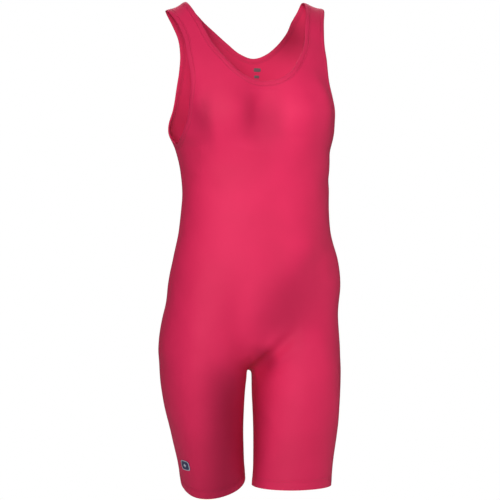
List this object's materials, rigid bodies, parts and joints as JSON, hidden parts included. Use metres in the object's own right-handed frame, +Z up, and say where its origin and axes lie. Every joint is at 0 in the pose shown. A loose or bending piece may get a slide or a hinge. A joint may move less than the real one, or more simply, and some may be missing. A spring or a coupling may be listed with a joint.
{
  "type": "wrestling singlet",
  "caption": "Sleeveless one-piece stretch-knit singlet with a scooped neck, cut-in armholes and mid-thigh legs, filled out as if worn.",
  "frame": {"origin": "on the line of the shoulder seams, midway between the two straps, where a wearer's shoulders hold the garment up", "axes": "+Z up along the trunk, -Y out of the front, +X to the wearer's left"},
  "size_m": [0.321, 0.2417, 0.8698],
  "materials": {
    "knit": "soft sheen",
    "binding": "soft sheen",
    "transfer": "matte"
  },
  "bodies": {
    "root": {"front_panel": "knit", "back_panel": "knit", "neck_band": "binding", "armhole_band_right": "binding", "armhole_band_left": "binding", "leg_badge": "transfer"}
  },
  "joints": []
}
